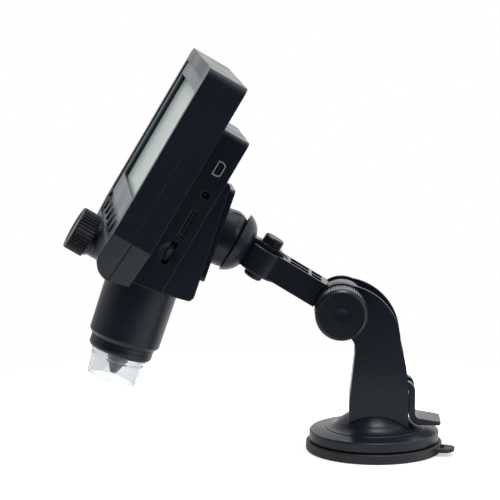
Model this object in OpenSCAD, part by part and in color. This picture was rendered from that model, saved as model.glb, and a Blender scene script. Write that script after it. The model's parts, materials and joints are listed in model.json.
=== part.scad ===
// Handheld LCD microscope carried on a short arm by a suction foot.
// Millimetres. The table top is z = 0 and the foot is centred on the origin.
// The arm points along -x, the clamp knob faces -y and x-z is the stand's plane of
// symmetry. In the head, x runs into its depth from the front face (d), and z runs up
// from its top edge, so that a place v down the front face is at z = -v.

/* [Fits] */
// Running clearance on a radius
fit = 0.05; // [0.02:0.01:0.1]
// Clearance between parts that pass each other
gap = 0.3; // [0.2:0.05:0.5]

/* [Suction foot] */
// Outer radius of the rubber cup
cup_r = 31.7; // [31:0.1:36]
// Height of the rubber rim
cup_h = 4.4; // [3.8:0.1:4.6]
// Height of the hollow under the cup
cup_hollow_h = 1.8; // [0.5:0.1:2]
// Radius of the bulb that holds the foot of the pull stud
bulb_r = 12; // [11:0.1:14]
// Top of the bulb
bulb_top_z = 9.4; // [9:0.1:10]
// Direction of the release tab, seen from above
tab_angle = -18; // [-60:1:60]
// Reach of the release tab from the middle
tab_reach = 38.7; // [36:0.1:44]
// Width of the release tab
tab_w = 11; // [8:0.5:18]

/* [Foot cover] */
// Outer radius of the cover
cover_r = 30.15; // [29:0.05:31]
// Underside of the visible rim
cover_z = 5.2; // [5:0.1:5.6]
// Top of the upright rim
rim_z = 9.5; // [9:0.1:10.5]
// Wall of the cover
cover_wall = 2.2; // [1.8:0.1:2.6]
// Radius of the domed middle
dome_r = 25.2; // [24:0.1:27]
// Top of the domed middle
dome_top_z = 20; // [19:0.1:21]
// Fillet between the dome and the flat part
dome_blend_r = 8; // [4:0.5:10]

/* [Column] */
// Pivot of the arm, x
pivot_x = -15.6; // [-18:0.1:-14]
// Pivot of the arm, height
pivot_z = 67.8; // [64:0.1:72]
// Half the width of the column
column_half = 11; // [10.5:0.1:12]
// Radius of the round head of the column
head_r = 12.4; // [12.2:0.1:13]
// Half the width of the fork slot
fork_half = 5.2; // [5:0.1:5.6]
// Half the width of the lever channel
channel_half = 9.3; // [9.2:0.1:9.6]

/* [Lever] */
// Hinge of the suction lever, x
lever_x = 14.3; // [14:0.1:14.6]
// Hinge of the suction lever, height
lever_z = 29.3; // [29:0.1:30]
// Half the width of the lever
lever_half = 9; // [8.5:0.1:9]
// Radius of the lever's hub
lever_hub_r = 4.5; // [4.2:0.1:4.8]
// Thickness of the lever
lever_t = 3; // [2.5:0.1:3.2]
// End of the lever's toe, x
toe_x = 30.5; // [27:0.1:33]
// Offset of the cam that pulls the stud
cam_throw = 1.7; // [1:0.1:1.8]
// Radius of the cam
cam_r = 3; // [2.8:0.1:3.2]
// Radius of the pull stud
stud_r = 3; // [2.5:0.1:3.2]

/* [Clamp] */
// Outer radius of the clamp knob
clamp_r = 12.1; // [11:0.1:12.5]
// Front face of the clamp knob, distance from the middle plane
clamp_face = 24.5; // [22:0.1:27]
// Ridges round the clamp knob
clamp_ridges = 60; // [40:2:80]
// Radius of the clamp bolt
bolt_r = 3; // [2.5:0.1:3.5]

/* [Arm] */
// Slope of the arm up from level
arm_angle = 31.1; // [25:0.1:35]
// Pivot to swivel
arm_len = 42.46; // [40:0.01:46]
// Half the depth of the arm
arm_half_h = 5.95; // [5.5:0.05:6.5]
// Half the width of the arm
arm_half_w = 8.6; // [8.4:0.1:9]
// Outer radius of the round end
ring_r = 10.2; // [10:0.1:10.6]
// Top of the round end above the arm's middle
ring_up = 5.5; // [5.2:0.1:5.9]
// Underside of the round end below the arm's middle
ring_down = 6.9; // [6.2:0.1:7.2]
// Radius of the well in the round end
well_r = 8.2; // [8:0.1:8.4]
// Half the width of the tongue in the fork
tongue_half = 4.5; // [4.2:0.1:4.6]
// Radius of the tongue
tongue_r = 11.8; // [11.5:0.1:11.9]
// Side wall of the arm
arm_wall = 1.5; // [1.2:0.1:2]

/* [Swivel and ball joint] */
// Swivel to the rim of the bell
bell_at = 14.9; // [14.5:0.1:15.5]
// Radius of the bell at its rim
bell_r = 14.66; // [14.4:0.02:15]
// Swivel to the middle of the ball
ball_at = 17.6; // [17.2:0.1:18]
// Radius of the ball
ball_r = 7.5; // [7:0.1:7.6]
// Radius of the stem under the ball
stem_r = 3.6; // [3:0.1:3.6]
// Half the width of the blade in the round end's gap
blade_half = 3.8; // [3:0.1:4]
// Wall of the nylon seat round the ball
seat_wall = 1.45; // [1.2:0.05:1.5]
// Outer radius of the slotted collar
collar_r = 13.6; // [13.4:0.1:13.8]
// Ball's middle to the front end of the collar
collar_front = 5.2; // [5:0.1:5.2]
// Ball's middle to the mount plate
collar_back = 6.5; // [6.3:0.1:6.8]

/* [Head] */
// Turn of the head about the vertical
head_yaw = 6.84; // [0:0.02:8]
// Lean of the head from upright
head_tilt = 30.7; // [28:0.1:33]
// Depth of the ball's middle behind the front face
ball_d = 54.07; // [53.5:0.01:54.5]
// Ball's middle below the top edge
ball_v = 65.78; // [62:0.01:70]
// Half the width of the screen case
case_half = 58.5; // [57:0.1:60]
// Depth of the screen case
case_d = 18.9; // [18:0.1:20]
// Depth of the seam between the two shells
seam_d = 9.3; // [9:0.1:10]
// Height of the screen case
case_v = 104.6; // [103:0.1:106]
// Start of the sloping lower corner, down the side
chamfer_v = 83.5; // [80:0.5:88]
// Half the width left at the bottom edge
chin_half = 47; // [44:0.5:50]
// Radius of the rounded chin
chin_r = 9.6; // [8:0.1:10]
// Radius of the upper corners
corner_r = 4; // [3:0.5:6]
// Shell wall
wall = 2; // [1.6:0.1:2.2]
// Thickness of the front wall round the screen
front_t = 3; // [2.8:0.1:3.2]

/* [Screen and keys] */
// Side of the case to the screen opening
screen_side = 10; // [9:0.1:12]
// Height of the screen opening
screen_h = 55.5; // [54.5:0.1:56]
// Top edge of the screen opening
screen_v = 13.1; // [12.5:0.1:13.5]
// Side of the case to the front panel
panel_side = 5; // [4.5:0.1:6]
// Top edge of the front panel
panel_v = 6.4; // [6:0.1:7]
// Step down to the front panel
panel_step = 0.7; // [0.4:0.05:0.9]
// Thickness of the front panel
panel_t = 0.8; // [0.6:0.05:0.9]
// Top edge of the key recess
keys_v0 = 79; // [78.5:0.1:79.5]
// Bottom edge of the key recess
keys_v1 = 89.4; // [88.5:0.1:90]
// Middle line of the keys
key_v = 84.4; // [84:0.1:85]
// Side of the case to the middle of the end key
key_side = 12.5; // [12:0.1:16]
// Width of a key
key_w = 7; // [6:0.1:9]
// Height of a key
key_h = 6; // [5:0.1:6.4]

/* [Rear housings] */
// Half the width of the port housing
port_half = 34; // [33:0.1:35]
// Top of the port housing
port_v = 21.4; // [20:0.1:23]
// Back of the port housing
port_d = 34.9; // [34:0.1:36]
// Half the width of the rear cover
rear_half = 21; // [20:0.1:22]
// Top of the rear cover
rear_v = 42.5; // [41:0.1:43]
// Half the width of the mount plate
plate_half = 13.7; // [13.6:0.1:15]
// Thickness of the mount plate
plate_t = 2.35; // [2.2:0.05:2.6]
// Slope of the mount plate to the front face
plate_slope = 11.43; // [11:0.01:12]

/* [Ports] */
// USB socket, down from the top edge
usb_v = 38; // [37:0.1:39]
// Round socket, down from the top edge
jack_v = 51.1; // [50:0.1:52]
// Card slot, down from the top edge to its middle
card_v = 65.3; // [64:0.1:66]
// Thumbwheel, down from the top edge
wheel_v = 81.6; // [80:0.1:83]
// Radius of the thumbwheel
wheel_r = 7; // [6.5:0.1:7.5]

/* [Barrel] */
// Lean of the barrel from the front face
barrel_lean = 12.3; // [11.5:0.1:13]
// Barrel's reference point, down from the top edge
barrel_v = 107.75; // [106:0.05:109]
// Barrel's reference point, behind the front face
barrel_d = 30.1; // [29:0.1:31]
// Radius of the barrel at its upper end
barrel_r = 17.1; // [16.6:0.1:17.4]
// Reference point to the lower end of the barrel
barrel_end = 24.8; // [23:0.1:26]
// Bore of the barrel
bore_r = 13.6; // [13.2:0.1:14]
// Outer radius of the black end ring
ring_end_r = 15; // [14.5:0.1:15.2]
// Length of the black end ring
ring_end_h = 5.5; // [5:0.1:6]
// Reference point to the mouth of the clear cap
cap_end = 42.4; // [41:0.1:44]
// Reference point to the tip of the lens nose
nose_end = 39.8; // [38:0.1:40.6]

/* [Focus knob] */
// Focus knob, down from the top edge
focus_v = 96.8; // [96:0.1:98]
// Front face of the focus knob, ahead of the front face of the case
focus_face = 11.2; // [10:0.1:12]
// Radius of the focus knob
focus_r = 10.3; // [9.5:0.1:11]
// Length of the ridged part of the focus knob
focus_grip = 9.2; // [5:0.1:9.6]
// Ridges round the focus knob
focus_ridges = 40; // [30:2:60]
// Radius at which the crank pin sits
crank_r = 2.5; // [2:0.1:2.6]

/* [Hidden] */

$fn = 96;
ball_reach = arm_len + ball_at;
ball_x = pivot_x - ball_reach * cos(arm_angle);
ball_z = pivot_z + ball_reach * sin(arm_angle);

// Foot cover: the fillet circle touches the sloping disc and the dome.
disc_r0 = 24;
disc_z0 = rim_z + 1.1;
disc_slope = (disc_z0 - rim_z) / (cover_r - disc_r0);
dome_mid_z = dome_top_z - dome_r;
blend_off = disc_z0 + disc_slope * disc_r0 + dome_blend_r * sqrt(1 + disc_slope ^ 2) - dome_mid_z;
blend_sum = dome_r + dome_blend_r;
blend_x = (disc_slope * blend_off
    + sqrt((disc_slope * blend_off) ^ 2 - (1 + disc_slope ^ 2) * (blend_off ^ 2 - blend_sum ^ 2)))
    / (1 + disc_slope ^ 2);
blend_z = dome_mid_z + blend_off - disc_slope * blend_x;

// Pull stud and its foot in the bulb.
stud_foot_r = 7.5;
stud_foot_t = 1.6;
pocket_top_z = bulb_top_z - 1.3;
stud_foot_z = pocket_top_z - fit - stud_foot_t;
stud_drop = 2 * cam_throw / sqrt(2);
cam_x = lever_x - cam_throw / sqrt(2);
cam_z = lever_z + cam_throw / sqrt(2);
jaw_t = 2;
jaw_gap = 0.15;
jaw_half = 3.5;
jaw_end = 14.7;
lever_pin_half = 10.4;

// Curve of the column's back, with a groove between the cheeks.
back_x = -15.2;
back_z = 52.5;
back_r = 27;
groove_deep = 3.5;

// Disc let into the face of the clamp knob.
clamp_disc_r = 4.8;
clamp_dish = 0.35;

// Swivel nut, below the arm's middle.
nut_down = 10;

// Screen case.
chamfer_a = case_half - chin_half;
chamfer_b = case_v - chamfer_v;
chamfer_l = sqrt(chamfer_a ^ 2 + chamfer_b ^ 2);
chamfer_c = (case_half * chamfer_b + chamfer_v * chamfer_a) / chamfer_l;
chin_slope = 0.278;
port_slope = 0.165;
rear_slope = 0.24;
chin_back_v = case_v - chin_slope * (case_d - seam_d);
screen_w = 2 * (case_half - screen_side);
screen_mid_v = screen_v + screen_h / 2;
lcd_w = screen_w + 8.5;
lcd_h = screen_h + 11.7;
panel_half = case_half - panel_side;
key_pitch = (case_half - key_side) / 2.5;
key_bay_half = case_half - 7;
board_half = case_half - 6.5;
board_post_y = case_half - 12.5;
lcd_frame_back = 5.9;
board_d = 10;
screw_y = [case_half - 8.5, case_half - 4.3];
screw_places = [[-screw_y[0], 4.6], [screw_y[0], 4.6], [-screw_y[1], 78.2], [screw_y[1], 78.2]];
board_t = 1.6;
key_board_d = 4.9;
key_travel = 0.5;
focus_axis = focus_v;

// Rear housings. The plate's outer face is collar_back behind the ball's middle.
rear_line = 0.2165;
rear_line_v = 44.7;
rear_line_d = 39.5;
plate_len = 44.5;
plate_mid = -1;
port_d0 = case_d;
port_board_d = 25.7;
port_board_t = 1.2;
wheel_d = 28.4;
port_post_v = [28, 94];
wheel_t = 2.4;
wheel_y = -port_half + wheel_r;
card_d = 28.9;
card_t = 0.7;
card_half = 5.5;

// Barrel stations, along its axis from the reference point.
spigot_r = 15;
spigot_top = -9.5;
bay_top = -27;
carriage_r = bore_r - 0.1;
carriage_top = -19;
carriage_end = 12;
focus_station = (focus_v - barrel_v) * cos(barrel_lean) + (14.4 - barrel_d) * sin(barrel_lean);
led_board_top = barrel_end - 2.2;
led_board_t = 1.6;
ring_bore_r = 12.2;
cap_r = 12.1;
cap_wall = 1.2;
cap_flange_r = 13;
cap_seat = barrel_end + ring_end_h + fit;
nose_r = 5.65;
nose_base = cap_seat + 1.3;
tip_r = 1.5;

// ---- helpers ----

// Places its children in the head, whose ball sits in the arm's ball seat.
module in_head() {
    translate([ball_x, 0, ball_z]) rotate([0, 0, head_yaw]) rotate([0, head_tilt, 0])
        translate([-ball_d, 0, ball_v]) children();
}

// x runs away from the ball along the arm, z is the swivel's direction.
module in_arm() translate([pivot_x, 0, pivot_z]) rotate([0, arm_angle, 0]) children();
module at_swivel() in_arm() translate([-arm_len, 0, 0]) children();

// z runs out of the mount plate towards the stand, from the ball's middle.
module at_ball() translate([ball_d, 0, -ball_v]) rotate([0, 90 - plate_slope, 0]) children();

// z runs down the barrel from its reference point.
module on_barrel() translate([barrel_d, 0, -barrel_v]) rotate([0, 180 - barrel_lean, 0]) children();

// A point of the head: depth, side, distance down.
module at(d, y, v) translate([d, y, -v]) children();

// Extrudes a y-z outline into the depth of the head.
module into(d0, d1) translate([d0, 0, 0]) rotate([90, 0, 90]) linear_extrude(d1 - d0) children();

// Extrudes an x-z outline to both sides of the middle plane.
module across(half) rotate([90, 0, 0]) translate([0, 0, -half]) linear_extrude(2 * half) children();

// Cylinder along x, from depth d0 to d1.
module rod_x(r, d0, d1) translate([d0, 0, 0]) rotate([0, 90, 0]) cylinder(r = r, h = d1 - d0);

// Cylinder along y, from y0 to y1.
module rod_y(r, y0, y1) translate([0, y1, 0]) rotate([90, 0, 0]) cylinder(r = r, h = y1 - y0);

module round_rect(w, h, r) {
    square([w - 2 * r, h], center = true);
    square([w, h - 2 * r], center = true);
    for (x = [-1, 1], y = [-1, 1]) translate([x * (w / 2 - r), y * (h / 2 - r)]) circle(r);
}

module box(x0, x1, y0, y1, z0, z1) translate([x0, y0, z0]) cube([x1 - x0, y1 - y0, z1 - z0]);

function teeth(n, r, deep) =
    [for (i = [0:2 * n - 1]) let (a = i * 180 / n, q = r - (i % 2) * deep) [q * cos(a), q * sin(a)]];

// Pan-head screw with a cross recess; its head stands on z = 0 and the shank goes down.
module screw(head, head_h, shank, len) {
    difference() {
        union() {
            cylinder(r = head, h = head_h * 0.6);
            translate([0, 0, head_h * 0.6]) cylinder(r1 = head, r2 = head * 0.7, h = head_h * 0.4);
            translate([0, 0, -len]) cylinder(r = shank, h = len);
        }
        for (q = [0, 90]) rotate([0, 0, q])
            translate([-head * 0.55, -head * 0.12, head_h * 0.5]) cube([head * 1.1, head * 0.24, head_h]);
    }
}

// ---- suction foot ----

module suction_cup() color("#17191c") {
    difference() {
        union() {
            rotate_extrude() polygon([
                [0, cup_hollow_h], [bulb_r, cup_hollow_h], [cup_r - 2.6, 0], [cup_r - 0.5, 0],
                [cup_r, 0.7], [cup_r, cup_h - 0.5], [cup_r - 0.5, cup_h], [bulb_r + 1.2, cup_h],
                [bulb_r, cup_h + 1.2], [bulb_r, bulb_top_z - 0.8], [bulb_r - 0.8, bulb_top_z],
                [0, bulb_top_z]
            ]);
            rotate([0, 0, tab_angle]) {
                translate([0, 0, 1.9]) linear_extrude(1.6)
                    translate([(tab_reach + 26) / 2, 0]) round_rect(tab_reach - 26, tab_w, 5);
                translate([tab_reach - 5.5, 0, 3.4]) cylinder(r = 1, h = 1.2);
            }
        }
        translate([0, 0, cup_hollow_h + 2.1])
            cylinder(r = stud_foot_r + gap, h = pocket_top_z - cup_hollow_h - 2.1);
        cylinder(r = stud_r + gap, h = bulb_top_z + 1);
        translate([0, 0, -1]) cylinder(r = 1.2, h = 6);
    }
}

module dome_outline(grow) {
    difference() {
        union() {
            polygon([
                [0, cover_z], [cover_r, cover_z], [cover_r, rim_z - 0.5], [cover_r - 0.5, rim_z + grow],
                [disc_r0, disc_z0 + grow], [0, disc_z0 + grow]
            ]);
            intersection() {
                translate([0, dome_mid_z]) circle(dome_r + grow);
                translate([0, cover_z]) square([dome_r + 1, dome_top_z]);
            }
            polygon([[0, disc_z0], [blend_x, disc_z0], [blend_x, disc_z0 + 0.2], [blend_x - 6, 14], [0, 14]]);
        }
        translate([blend_x, blend_z]) circle(dome_blend_r - grow);
    }
}

module base_cover() color("#101215") {
    difference() {
        union() {
            rotate_extrude() dome_outline(0);
            translate([0, 0, cup_h + fit]) cylinder(r = cover_r - 1.6, h = 2);
            for (s = [-1, 1]) translate([-7.6, 6.5 * s, 14]) cylinder(r = 3.4, h = 2);
        }
        difference() {
            union() {
                translate([0, 0, cup_h - 1]) cylinder(r = cover_r - 4.4, h = cover_z + 2.2 - cup_h + 1);
                translate([0, 0, cover_z]) cylinder(r = 21.5, h = 3.6);
                intersection() {
                    translate([0, 0, dome_mid_z]) sphere(dome_r - cover_wall);
                    cylinder(r = 19, h = dome_top_z);
                }
            }
            for (s = [-1, 1]) translate([-7.6, 6.5 * s, 14]) cylinder(r = 3.4, h = 6);
        }
        cylinder(r = stud_r + gap, h = dome_top_z + 1);
        for (s = [-1, 1]) translate([-7.6, 6.5 * s, 0]) cylinder(r = 1.5 + fit, h = dome_top_z);
    }
}

// ---- column, lever and pull stud ----

module column_outline() {
    nook_x = -14.35;
    nook_z = 50.45;
    nook_r = 5;
    translate([pivot_x, pivot_z]) circle(head_r);
    intersection() {
        translate([back_x, back_z]) circle(back_r);
        union() {
            translate([nook_x + nook_r, back_z]) square([back_r + 1, back_r + 1]);
            translate([pivot_x, pivot_z]) square([back_r + 1, back_r + 1]);
        }
    }
    difference() {
        polygon([
            [-11.8, 10], [15.75, 10], [15.75, 12.1], [15.3, 36.2], [13.6, 44.6],
            [back_x + back_r, back_z], [pivot_x, pivot_z], [nook_x, pivot_z - head_r],
            [nook_x, nook_z], [nook_x + nook_r, nook_z], [-9.1, 48], [-10.1, 38.8], [-11.6, 25.6], [-11.8, 14.2]
        ]);
        translate([nook_x, nook_z]) circle(nook_r);
    }
}

module column() color("#131518") {
    difference() {
        across(column_half) column_outline();
        rotate_extrude() dome_outline(fit);
        translate([pivot_x, 0, pivot_z]) {
            rod_y(tongue_r + 0.4, -fork_half, fork_half);
            box(-20, 0, -fork_half, fork_half, -tongue_r - 0.4, 20);
            rod_y(bolt_r + fit, -20, 20);
        }
        box(6.2, 30, -channel_half, channel_half, 8, 40);
        box(-stud_r - 0.8, 7, -stud_r - 0.8, stud_r + 0.8, 8, 42);
        translate([lever_x, 0, lever_z]) rod_y(1.5 + fit, -lever_pin_half - 0.1, lever_pin_half + 0.1);
        for (s = [-1, 1]) translate([-7.6, 6.5 * s, 8]) cylinder(r = 1.45 + fit, h = 20);
        box(-8.4, -5.6, -4.5, 4.5, 24, 46);
        across(channel_half) difference() {
            translate([-60, 36]) square([120, 60]);
            translate([back_x, back_z]) circle(back_r - groove_deep);
            translate([pivot_x, pivot_z]) circle(tongue_r - 1.2);
            translate([-60, 30]) square([68.3, back_z - 30]);
        }
    }
}

module column_screws() color("#8d9096") {
    for (s = [-1, 1]) translate([-7.6, 6.5 * s, 14 - 0.02]) mirror([0, 0, 1]) screw(2.7, 1.7, 1.45, 12.5);
}

module lever_outline() {
    turn_x = lever_x + 7;
    turn_z = 18.9;
    turn_r = 2.5;
    outer_r = turn_r + lever_t;
    translate([turn_x - outer_r, turn_z]) square([lever_t, lever_z - turn_z + 0.6]);
    intersection() {
        difference() {
            translate([turn_x, turn_z]) circle(outer_r);
            translate([turn_x, turn_z]) circle(turn_r);
        }
        translate([turn_x - outer_r, turn_z - outer_r]) square(outer_r);
    }
    polygon([
        [turn_x, turn_z - turn_r], [toe_x, 14.9], [toe_x + 0.4, 14.1], [toe_x, 13.2],
        [turn_x, turn_z - outer_r]
    ]);
}

module lever() color("#15171b") {
    difference() {
        union() {
            intersection() {
                across(lever_half) lever_outline();
                translate([0, 0, 10]) linear_extrude(30) {
                    translate([lever_x + 2, 0]) round_rect(2 * (toe_x + 0.5 - lever_x - 2), 2 * lever_half, 3);
                }
            }
            translate([lever_x, 0, lever_z]) rod_y(lever_hub_r, -lever_half, lever_half);
        }
        translate([lever_x, 0, lever_z]) rod_y(7.2, -jaw_half - gap - 0.2, jaw_half + gap + 0.2);
        translate([lever_x, 0, lever_z]) rod_y(1.5 + fit, -20, 20);
    }
    difference() {
        translate([cam_x, 0, cam_z]) rod_y(cam_r, -jaw_half - gap - 0.3, jaw_half + gap + 0.3);
        translate([lever_x, 0, lever_z]) rod_y(1.5 + fit, -20, 20);
    }
}

module lever_pin() color("#a9adb3") {
    translate([lever_x, 0, lever_z]) rod_y(1.5, -lever_pin_half, lever_pin_half);
}

module pull_stud() color("#9a9ea4") {
    jaw0 = cam_z - cam_r - jaw_gap;
    jaw1 = cam_z + cam_r + jaw_gap;
    translate([0, 0, stud_foot_z]) cylinder(r = stud_foot_r, h = stud_foot_t);
    translate([0, 0, stud_foot_z]) cylinder(r = stud_r, h = jaw0 - stud_foot_z - 0.5);
    box(-stud_r, 9, -jaw_half, jaw_half, jaw0 - jaw_t, jaw0 + 1);
    box(6.6, 9, -jaw_half, jaw_half, jaw0 - jaw_t, jaw1 + jaw_t);
    box(6.6, jaw_end, -jaw_half, jaw_half, jaw0 - jaw_t, jaw0);
    box(6.6, jaw_end, -jaw_half, jaw_half, jaw1, jaw1 + jaw_t);
}

// ---- clamp ----

module clamp_bolt() color("#b4b7bc") {
    translate([pivot_x, 0, pivot_z]) difference() {
        union() {
            rod_y(bolt_r, -clamp_face + 4, column_half + 0.5);
            rod_y(6.4, column_half + 0.03, column_half + 2.2);
            rod_y(5.6, column_half + 2, column_half + 3);
        }
        translate([0, column_half + 4, 0]) rotate([90, 0, 0]) cylinder(r = 2.9, h = 2.6, $fn = 6);
    }
}

module clamp_knob() color("#121417") {
    face = clamp_face;
    translate([pivot_x, 0, pivot_z]) rotate([90, 0, 0]) difference() {
        union() {
            translate([0, 0, column_half + 0.05]) cylinder(r = clamp_r - 3, h = 2);
            translate([0, 0, column_half + 1.6]) cylinder(r1 = clamp_r - 2, r2 = clamp_r - 0.4, h = 1.2);
            translate([0, 0, column_half + 2.8]) linear_extrude(face - column_half - 3.8)
                polygon(teeth(clamp_ridges, clamp_r, 0.35));
            translate([0, 0, face - 1.2]) cylinder(r1 = clamp_r - 0.3, r2 = clamp_r - 1.4, h = 1.2);
        }
        translate([0, 0, face - clamp_dish]) cylinder(r = clamp_r - 1.9, h = 2);
        translate([0, 0, face - 3]) cylinder(r = clamp_disc_r + fit, h = 4);
        cylinder(r = bolt_r + 0.02, h = face - 2);
    }
}

module clamp_cap() color("#1b1e22") {
    translate([pivot_x, 0, pivot_z]) rotate([90, 0, 0]) translate([0, 0, clamp_face - 2.95]) difference() {
        union() {
            cylinder(r = clamp_disc_r, h = 2.3);
            translate([0, 0, 2.3]) cylinder(r1 = clamp_disc_r, r2 = clamp_disc_r - 0.2, h = 0.2);
        }
        translate([0, 0, 2.2 + 16]) sphere(16);
    }
}

module friction_washers() color("#c9ccd0") {
    for (s = [-1, 1]) translate([pivot_x, s * (tongue_half + fork_half) / 2, pivot_z]) difference() {
        rod_y(9.6, -0.32, 0.32);
        rod_y(bolt_r + fit, -1, 1);
    }
}

// ---- arm ----

module arm() color("#121417") {
    shoulder_r = head_r + 0.5;
    pocket_x0 = -arm_len + ring_r + 1.3;
    pocket_x1 = -shoulder_r - 1.5;
    rib_x = -arm_len + 22;
    in_arm() difference() {
        union() {
            difference() {
                union() {
                    difference() {
                        box(-arm_len, -8, -arm_half_w, arm_half_w, -arm_half_h, arm_half_h);
                        translate([-arm_len, 0, -20]) cylinder(r = ring_r - 0.2, h = 40);
                    }
                    translate([-arm_len, 0, -ring_down]) {
                        cylinder(r1 = ring_r - 0.6, r2 = ring_r, h = 0.6);
                        translate([0, 0, 0.6]) cylinder(r = ring_r, h = ring_down + ring_up - 1);
                        translate([0, 0, ring_down + ring_up - 0.4]) cylinder(r1 = ring_r, r2 = ring_r - 0.4, h = 0.4);
                    }
                }
                rod_y(shoulder_r, -20, -tongue_half);
                rod_y(shoulder_r, tongue_half, 20);
            }
            rod_y(tongue_r, -tongue_half, tongue_half);
        }
        for (s = [-1, 1], z = [0.95, -arm_half_h - 1])
            intersection() {
                box(pocket_x0, pocket_x1, s > 0 ? 0.75 : -arm_half_w + arm_wall,
                    s > 0 ? arm_half_w - arm_wall : -0.75, z, z > 0 ? 20 : -1.2);
                difference() {
                    box(-60, 0, -20, 20, -20, 20);
                    box(rib_x - 0.8, rib_x + 0.8, -20, 20, -20, 20);
                    rod_y(shoulder_r + 1.3, -20, 20);
                }
            }
        translate([-arm_len, 0, -1]) cylinder(r = well_r, h = 20);
        translate([-arm_len, 0, -20]) cylinder(r = 3 + fit, h = 40);
        box(-arm_len - 20, -arm_len, -blade_half - 2.8, blade_half + 2.8, -1, 20);
        rod_y(bolt_r + fit, -20, 20);
    }
}

module swivel_pin() color("#c3c6ca") {
    at_swivel() difference() {
        union() {
            translate([0, 0, 7.5]) cylinder(r = 4.75, h = 3.4);
            translate([0, 0, 10.9]) cylinder(r1 = 4.75, r2 = 4.2, h = 0.6);
            translate([0, 0, -0.97]) cylinder(r = 4, h = 9);
            translate([0, 0, -nut_down + 0.4]) cylinder(r = 3, h = nut_down);
        }
        box(-6, 6, -0.6, 0.6, 10.2, 13);
    }
}

module swivel_nut() color("#1a1c20") {
    at_swivel() difference() {
        union() {
            translate([0, 0, 0.7 - nut_down]) cylinder(r = 4.5, h = nut_down - 0.7 - ring_down - 0.03);
            translate([0, 0, -nut_down]) cylinder(r1 = 3.8, r2 = 4.5, h = 0.7);
        }
        translate([0, 0, -nut_down + 0.35]) cylinder(r = 3.02, h = 8);
    }
}

// The bell and its cavity are turned about the arm's line; s runs from the ball's
// middle towards the swivel.
module bell_outline() {
    arc_r = 11.35;
    arc_mid_r = 3.9;
    arc_back = 3.6;
    rim = ball_at - bell_at;
    intersection() {
        union() {
            translate([arc_mid_r, rim - arc_back]) circle(arc_r);
            square([arc_mid_r, rim - arc_back + arc_r]);
        }
        translate([0, rim]) square([20, 20]);
    }
}

module bell_cavity() {
    polygon([[0, 0], [13.75, 0], [13.75, 2.72], [13.6, 3.3], [12.75, 4.8], [11.7, 6.1], [9.9, 7.5],
             [7.3, 8.25], [0, 8.25]]);
}

module neck() color("#15181c") {
    blade_top = 7.2;
    at_swivel() {
        difference() {
            union() {
                translate([-ball_at, 0, 0]) rotate([0, 90, 0]) rotate_extrude() bell_outline();
                box(-10.6, 0, -blade_half, blade_half, -0.95, blade_top);
            }
            translate([0, 0, -ring_down - 0.3]) difference() {
                cylinder(r = ring_r + 0.35, h = ring_down + ring_up + 0.6);
                box(-12, 0, -blade_half, blade_half, ring_down - 0.65, 30);
            }
            translate([-ball_at, 0, 0]) rotate([0, 90, 0]) rotate_extrude() bell_cavity();
            translate([0, 0, -1]) cylinder(r = 4 + fit, h = 20);
        }
        difference() {
            translate([0, 0, -0.95]) cylinder(r = 6.2, h = 8.4);
            translate([0, 0, -1]) cylinder(r = 4 + fit, h = 20);
        }
        translate([-ball_at, 0, 0]) {
            sphere(ball_r);
            difference() {
                rod_x(stem_r, 0, 8.6);
                box(ball_at - ring_r - 0.35, 20, -10, 10, -10, -0.95);
            }
        }
    }
}

module ball_seat() color("#d9d8d2") {
    inner = ball_r + fit;
    outer = inner + seat_wall;
    in_head() at_ball() difference() {
        union() {
            sphere(outer);
            translate([0, 0, -collar_back + 0.1]) cylinder(r = outer, h = collar_back - 0.1);
        }
        sphere(inner);
        translate([0, 0, collar_front - 0.8]) cylinder(r = 20, h = 20);
        translate([0, 0, -20 - collar_back + 0.1]) cylinder(r = 20, h = 20);
        cylinder(r = 5.9, h = 20);
        for (q = [0:60:359]) rotate([0, 0, q]) translate([0, -0.4, -collar_back - 1]) cube([20, 0.8, collar_back + 3]);
    }
}

// ---- collar and mount plate ----

module collar() color("#111316") {
    blend = 7;
    back = -collar_back + 0.02;
    well = ball_r + seat_wall + 2 * fit;
    in_head() at_ball() difference() {
        rotate_extrude() intersection() {
            union() {
                translate([collar_r - blend, collar_front - 6.4]) circle(blend);
                translate([0, back]) square([collar_r, collar_front - 6.4 - back]);
                translate([0, back]) square([collar_r - blend, 20]);
            }
            translate([0, back]) square([20, collar_front - back]);
        }
        intersection() {
            union() {
                sphere(well);
                translate([0, 0, -20]) cylinder(r = well, h = 20);
            }
            translate([0, 0, -20]) cylinder(r = 20, h = 20 + collar_front - 0.75);
        }
        cylinder(r = 6.3, h = 20);
        for (q = [22.5, 157.5, 202.5, 337.5]) rotate([0, 0, q]) translate([11.2, -0.5, -3.4]) cube([6, 1, 20]);
        for (q = [45:90:359]) rotate([0, 0, q]) translate([11.3, 0, back - 1]) cylinder(r = 1.1, h = 5);
    }
}

module plate_slab() {
    translate([plate_mid, 0, 0]) linear_extrude(plate_t) round_rect(plate_len - 0.02, 2 * plate_half, 2.5);
}

module mount_plate() color("#0f1114") {
    in_head() at_ball() difference() {
        translate([0, 0, -collar_back - plate_t]) plate_slab();
        sphere(ball_r + 0.2);
        for (q = [45:90:359]) rotate([0, 0, q]) translate([11.3, 0, -20]) cylinder(r = 1.15 + fit, h = 30);
        for (x = [-1, 1], y = [-1, 1]) translate([plate_mid + x * 19, y * 9.4, -collar_back - plate_t - 1]) {
            cylinder(r = 1.3, h = 10);
            translate([0, 0, plate_t - 0.2]) cylinder(r = 2.6, h = 10);
        }
    }
}

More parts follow.
